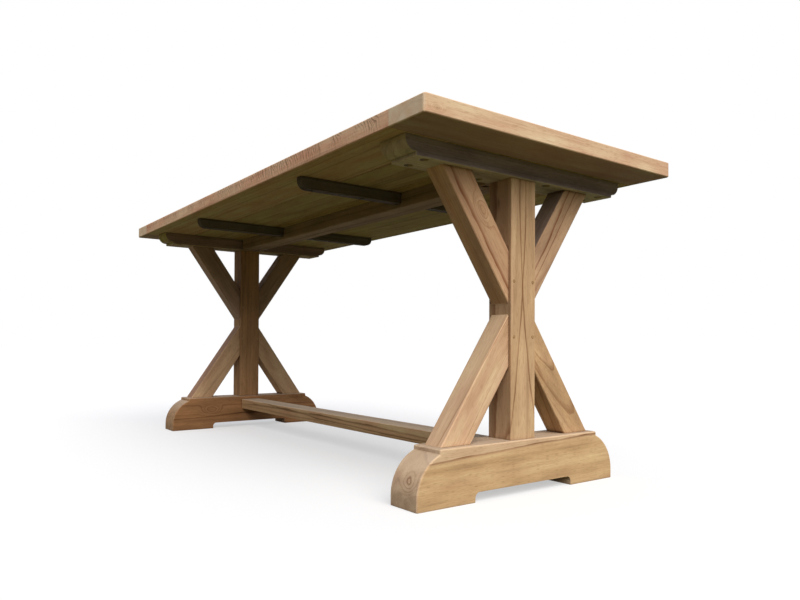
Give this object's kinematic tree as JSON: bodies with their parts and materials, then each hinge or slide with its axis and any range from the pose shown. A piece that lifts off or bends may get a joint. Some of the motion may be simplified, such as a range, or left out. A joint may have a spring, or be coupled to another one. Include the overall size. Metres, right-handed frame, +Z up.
{
  "type": "sawbuck table",
  "caption": "Trestle dining table with a planked top and breadboard ends on X-braced posts, with shaped feet and a low stretcher.",
  "frame": {"origin": "on the floor, under the middle of the top", "axes": "+X along the table towards the end nearest the picture's viewer, +Y across it, away from that viewer, +Z up"},
  "size_m": [1.8, 0.77, 0.78],
  "materials": {
    "batten_far": "bare reclaimed teak, sanded, with worn edges",
    "batten_near": "bare reclaimed teak, sanded, with worn edges",
    "batten_screws_far": "dull zinc-plated steel",
    "batten_screws_near": "dull zinc-plated steel",
    "beam_screws": "dull zinc-plated steel",
    "bearer_far": "bare reclaimed teak, sanded, with worn edges",
    "bearer_near": "bare reclaimed teak, sanded, with worn edges",
    "bearer_screws_far": "dull zinc-plated steel",
    "bearer_screws_near": "dull zinc-plated steel",
    "brace_lower_left_far": "bare reclaimed teak, sanded, with worn edges",
    "brace_lower_left_near": "bare reclaimed teak, sanded, with worn edges",
    "brace_lower_right_far": "bare reclaimed teak, sanded, with worn edges",
    "brace_lower_right_near": "bare reclaimed teak, sanded, with worn edges",
    "brace_upper_left_far": "bare reclaimed teak, sanded, with worn edges",
    "brace_upper_left_near": "bare reclaimed teak, sanded, with worn edges",
    "brace_upper_right_far": "bare reclaimed teak, sanded, with worn edges",
    "brace_upper_right_near": "bare reclaimed teak, sanded, with worn edges",
    "breadboard_far": "bare reclaimed teak, sanded, with worn edges",
    "breadboard_near": "bare reclaimed teak, sanded, with worn edges",
    "centre_beam": "bare reclaimed teak, sanded, with worn edges",
    "foot_far": "bare reclaimed teak, sanded, with worn edges",
    "foot_near": "bare reclaimed teak, sanded, with worn edges",
    "post_far": "bare reclaimed teak, sanded, with worn edges",
    "post_near": "bare reclaimed teak, sanded, with worn edges",
    "post_pegs_far": "bare reclaimed teak, sanded, with worn edges",
    "post_pegs_near": "bare reclaimed teak, sanded, with worn edges",
    "stretcher": "bare reclaimed teak, sanded, with worn edges",
    "top_board_1": "bare reclaimed teak, sanded, with worn edges",
    "top_board_2": "bare reclaimed teak, sanded, with worn edges",
    "top_board_3": "bare reclaimed teak, sanded, with worn edges",
    "top_board_4": "bare reclaimed teak, sanded, with worn edges",
    "top_board_5": "bare reclaimed teak, sanded, with worn edges"
  },
  "bodies": {
    "root": {"batten_far": "batten_far", "batten_near": "batten_near", "batten_screws_far": "batten_screws_far", "batten_screws_near": "batten_screws_near", "beam_screws": "beam_screws", "bearer_far": "bearer_far", "bearer_near": "bearer_near", "bearer_screws_far": "bearer_screws_far", "bearer_screws_near": "bearer_screws_near", "brace_lower_left_far": "brace_lower_left_far", "brace_lower_left_near": "brace_lower_left_near", "brace_lower_right_far": "brace_lower_right_far", "brace_lower_right_near": "brace_lower_right_near", "brace_upper_left_far": "brace_upper_left_far", "brace_upper_left_near": "brace_upper_left_near", "brace_upper_right_far": "brace_upper_right_far", "brace_upper_right_near": "brace_upper_right_near", "breadboard_far": "breadboard_far", "breadboard_near": "breadboard_near", "centre_beam": "centre_beam", "foot_far": "foot_far", "foot_near": "foot_near", "post_far": "post_far", "post_near": "post_near", "post_pegs_far": "post_pegs_far", "post_pegs_near": "post_pegs_near", "stretcher": "stretcher", "top_board_1": "top_board_1", "top_board_2": "top_board_2", "top_board_3": "top_board_3", "top_board_4": "top_board_4", "top_board_5": "top_board_5"}
  },
  "joints": []
}
